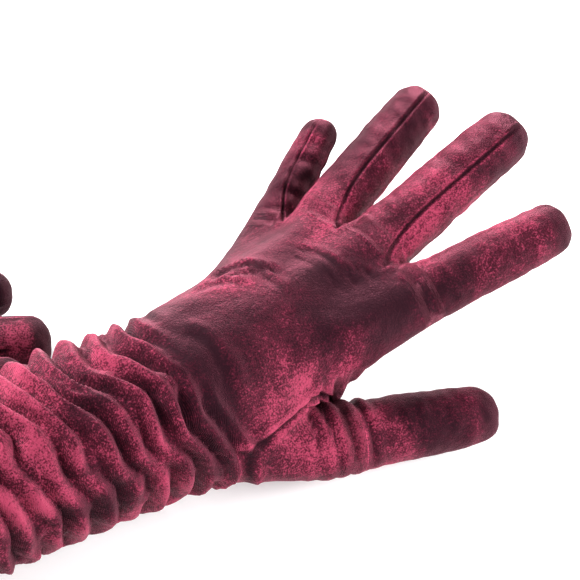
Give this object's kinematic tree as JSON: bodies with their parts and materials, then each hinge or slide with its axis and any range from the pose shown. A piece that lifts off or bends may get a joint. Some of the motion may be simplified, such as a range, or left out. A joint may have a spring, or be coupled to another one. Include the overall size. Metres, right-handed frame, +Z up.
{
  "type": "opera gloves",
  "caption": "Long stretch-velvet gloves with ruched sleeves, set-in thumbs and strips between the fingers; wrists, thumbs and fingers bend.",
  "frame": {"origin": "on the table under the middle of the pair, at the centre of its bounding box", "axes": "+Z up; +X along the sleeves from the hems to the fingertips; +Y from the left glove to the right glove"},
  "size_m": [0.6504, 0.1906, 0.0852],
  "materials": {
    "velvet": "crushed stretch velvet, ribbed pile, burgundy",
    "thumb_velvet": "the same velvet cut on another grain",
    "fourchette_velvet": "the same velvet with its pile lying the other way",
    "hem_velvet": "two layers of the same velvet, turned and stitched"
  },
  "bodies": {
    "left_sleeve": {"left_sleeve": "velvet", "left_hem": "hem_velvet"},
    "left_hand": {"left_hand_back": "velvet", "left_hand_palm": "velvet", "left_thumb_gusset": "thumb_velvet"},
    "left_thumb_base": {"left_thumb_base": "thumb_velvet"},
    "left_thumb_tip": {"left_thumb_tip": "thumb_velvet"},
    "left_index_base": {"left_index_wrap_base": "velvet", "left_index_fourchette_base": "fourchette_velvet"},
    "left_index_tip": {"left_index_wrap_tip": "velvet", "left_index_fourchette_tip": "fourchette_velvet"},
    "left_middle_base": {"left_middle_back_base": "velvet", "left_middle_palm_base": "velvet", "left_middle_fourchettes_base": "fourchette_velvet"},
    "left_middle_tip": {"left_middle_back_tip": "velvet", "left_middle_palm_tip": "velvet", "left_middle_fourchettes_tip": "fourchette_velvet"},
    "left_ring_base": {"left_ring_back_base": "velvet", "left_ring_palm_base": "velvet", "left_ring_fourchettes_base": "fourchette_velvet"},
    "left_ring_tip": {"left_ring_back_tip": "velvet", "left_ring_palm_tip": "velvet", "left_ring_fourchettes_tip": "fourchette_velvet"},
    "left_little_base": {"left_little_back_base": "velvet", "left_little_palm_base": "velvet", "left_little_fourchette_base": "fourchette_velvet"},
    "left_little_tip": {"left_little_back_tip": "velvet", "left_little_palm_tip": "velvet", "left_little_fourchette_tip": "fourchette_velvet"},
    "right_sleeve": {"right_sleeve": "velvet", "right_hem": "hem_velvet"},
    "right_hand": {"right_hand_back": "velvet", "right_hand_palm": "velvet", "right_thumb_gusset": "thumb_velvet"},
    "right_thumb_base": {"right_thumb_base": "thumb_velvet"},
    "right_thumb_tip": {"right_thumb_tip": "thumb_velvet"},
    "right_index_base": {"right_index_wrap_base": "velvet", "right_index_fourchette_base": "fourchette_velvet"},
    "right_index_tip": {"right_index_wrap_tip": "velvet", "right_index_fourchette_tip": "fourchette_velvet"},
    "right_middle_base": {"right_middle_back_base": "velvet", "right_middle_palm_base": "velvet", "right_middle_fourchettes_base": "fourchette_velvet"},
    "right_middle_tip": {"right_middle_back_tip": "velvet", "right_middle_palm_tip": "velvet", "right_middle_fourchettes_tip": "fourchette_velvet"},
    "right_ring_base": {"right_ring_back_base": "velvet", "right_ring_palm_base": "velvet", "right_ring_fourchettes_base": "fourchette_velvet"},
    "right_ring_tip": {"right_ring_back_tip": "velvet", "right_ring_palm_tip": "velvet", "right_ring_fourchettes_tip": "fourchette_velvet"},
    "right_little_base": {"right_little_back_base": "velvet", "right_little_palm_base": "velvet", "right_little_fourchette_base": "fourchette_velvet"},
    "right_little_tip": {"right_little_back_tip": "velvet", "right_little_palm_tip": "velvet", "right_little_fourchette_tip": "fourchette_velvet"}
  },
  "joints": [
    {"name": "left_wrist", "type": "hinge", "parent": "left_sleeve", "child": "left_hand", "pos_m": [0.15484, -0.05069, 0.042], "axis": [0, -1, 0], "range_deg": [0, 40]},
    {"name": "left_thumb_root", "type": "hinge", "parent": "left_hand", "child": "left_thumb_base", "pos_m": [0.21297, -0.0755, 0.01122], "axis": [-0.1908, -0.9816, 0], "range_deg": [0, 25]},
    {"name": "left_thumb_joint", "type": "hinge", "parent": "left_thumb_base", "child": "left_thumb_tip", "pos_m": [0.23937, -0.08063, 0.00876], "axis": [-0.1908, -0.9816, 0], "range_deg": [0, 20]},
    {"name": "left_index_root", "type": "hinge", "parent": "left_hand", "child": "left_index_base", "pos_m": [0.25991, -0.04908, 0.03892], "axis": [0, -1, 0], "range_deg": [-25, 25]},
    {"name": "left_index_joint", "type": "hinge", "parent": "left_index_base", "child": "left_index_tip", "pos_m": [0.28215, -0.04908, 0.0419], "axis": [0, -1, 0], "range_deg": [-25, 25]},
    {"name": "left_middle_root", "type": "hinge", "parent": "left_hand", "child": "left_middle_base", "pos_m": [0.25641, -0.02299, 0.04504], "axis": [0.225, -0.9744, 0], "range_deg": [-25, 25]},
    {"name": "left_middle_joint", "type": "hinge", "parent": "left_middle_base", "child": "left_middle_tip", "pos_m": [0.28014, -0.01751, 0.05136], "axis": [0.225, -0.9744, 0], "range_deg": [-25, 25]},
    {"name": "left_ring_root", "type": "hinge", "parent": "left_hand", "child": "left_ring_base", "pos_m": [0.2456, -0.00051, 0.04449], "axis": [0.4067, -0.9135, 0], "range_deg": [-25, 25]},
    {"name": "left_ring_joint", "type": "hinge", "parent": "left_ring_base", "child": "left_ring_tip", "pos_m": [0.26605, 0.0086, 0.0503], "axis": [0.4067, -0.9135, 0], "range_deg": [-25, 25]},
    {"name": "left_little_root", "type": "hinge", "parent": "left_hand", "child": "left_little_base", "pos_m": [0.22961, 0.01418, 0.0362], "axis": [0.5878, -0.809, 0], "range_deg": [-25, 25]},
    {"name": "left_little_joint", "type": "hinge", "parent": "left_little_base", "child": "left_little_tip", "pos_m": [0.24384, 0.02452, 0.04144], "axis": [0.5878, -0.809, 0], "range_deg": [-25, 25]},
    {"name": "right_glove_lift", "type": "slide", "parent": "left_sleeve", "child": "right_sleeve", "axis": [0, 0, 1], "range_m": [0, 0.12]},
    {"name": "right_wrist", "type": "hinge", "parent": "right_sleeve", "child": "right_hand", "pos_m": [-0.03517, 0.05331, 0.042], "axis": [0, -1, 0], "range_deg": [0, 40]},
    {"name": "right_thumb_root", "type": "hinge", "parent": "right_hand", "child": "right_thumb_base", "pos_m": [0.00495, 0.00488, 0.07272], "axis": [-0.4384, -0.8988, 0], "range_deg": [0, 40]},
    {"name": "right_thumb_joint", "type": "hinge", "parent": "right_thumb_base", "child": "right_thumb_tip", "pos_m": [0.0289, -0.0068, 0.07705], "axis": [-0.4384, -0.8988, 0], "range_deg": [0, 32]},
    {"name": "right_index_root", "type": "hinge", "parent": "right_hand", "child": "right_index_base", "pos_m": [0.05924, 0.00717, 0.04508], "axis": [-0.2419, -0.9703, 0], "range_deg": [0, 70]},
    {"name": "right_index_joint", "type": "hinge", "parent": "right_index_base", "child": "right_index_tip", "pos_m": [0.08082, 0.00179, 0.0421], "axis": [-0.2419, -0.9703, 0], "range_deg": [0, 70]},
    {"name": "right_middle_root", "type": "hinge", "parent": "right_hand", "child": "right_middle_base", "pos_m": [0.06776, 0.03197, 0.039], "axis": [-0.1908, -0.9816, 0], "range_deg": [0, 70]},
    {"name": "right_middle_joint", "type": "hinge", "parent": "right_middle_base", "child": "right_middle_tip", "pos_m": [0.09187, 0.02729, 0.03353], "axis": [-0.1908, -0.9816, 0], "range_deg": [0, 70]},
    {"name": "right_ring_root", "type": "hinge", "parent": "right_hand", "child": "right_ring_base", "pos_m": [0.06833, 0.05674, 0.03955], "axis": [-0.1392, -0.9903, 0], "range_deg": [0, 70]},
    {"name": "right_ring_joint", "type": "hinge", "parent": "right_ring_base", "child": "right_ring_tip", "pos_m": [0.09068, 0.0536, 0.03453], "axis": [-0.1392, -0.9903, 0], "range_deg": [0, 70]},
    {"name": "right_little_root", "type": "hinge", "parent": "right_hand", "child": "right_little_base", "pos_m": [0.06078, 0.07692, 0.04784], "axis": [-0.0698, -0.9976, 0], "range_deg": [0, 70]},
    {"name": "right_little_joint", "type": "hinge", "parent": "right_little_base", "child": "right_little_tip", "pos_m": [0.07851, 0.07568, 0.04321], "axis": [-0.0698, -0.9976, 0], "range_deg": [0, 70]}
  ],
  "couplings": [
    {"joint": "left_thumb_joint", "follows": "left_thumb_root", "ratio": 0.8},
    {"joint": "left_index_joint", "follows": "left_index_root", "ratio": 1},
    {"joint": "left_middle_joint", "follows": "left_middle_root", "ratio": 1},
    {"joint": "left_ring_joint", "follows": "left_ring_root", "ratio": 1},
    {"joint": "left_little_joint", "follows": "left_little_root", "ratio": 1},
    {"joint": "right_thumb_joint", "follows": "right_thumb_root", "ratio": 0.8},
    {"joint": "right_index_joint", "follows": "right_index_root", "ratio": 1},
    {"joint": "right_middle_joint", "follows": "right_middle_root", "ratio": 1},
    {"joint": "right_ring_joint", "follows": "right_ring_root", "ratio": 1},
    {"joint": "right_little_joint", "follows": "right_little_root", "ratio": 1}
  ]
}
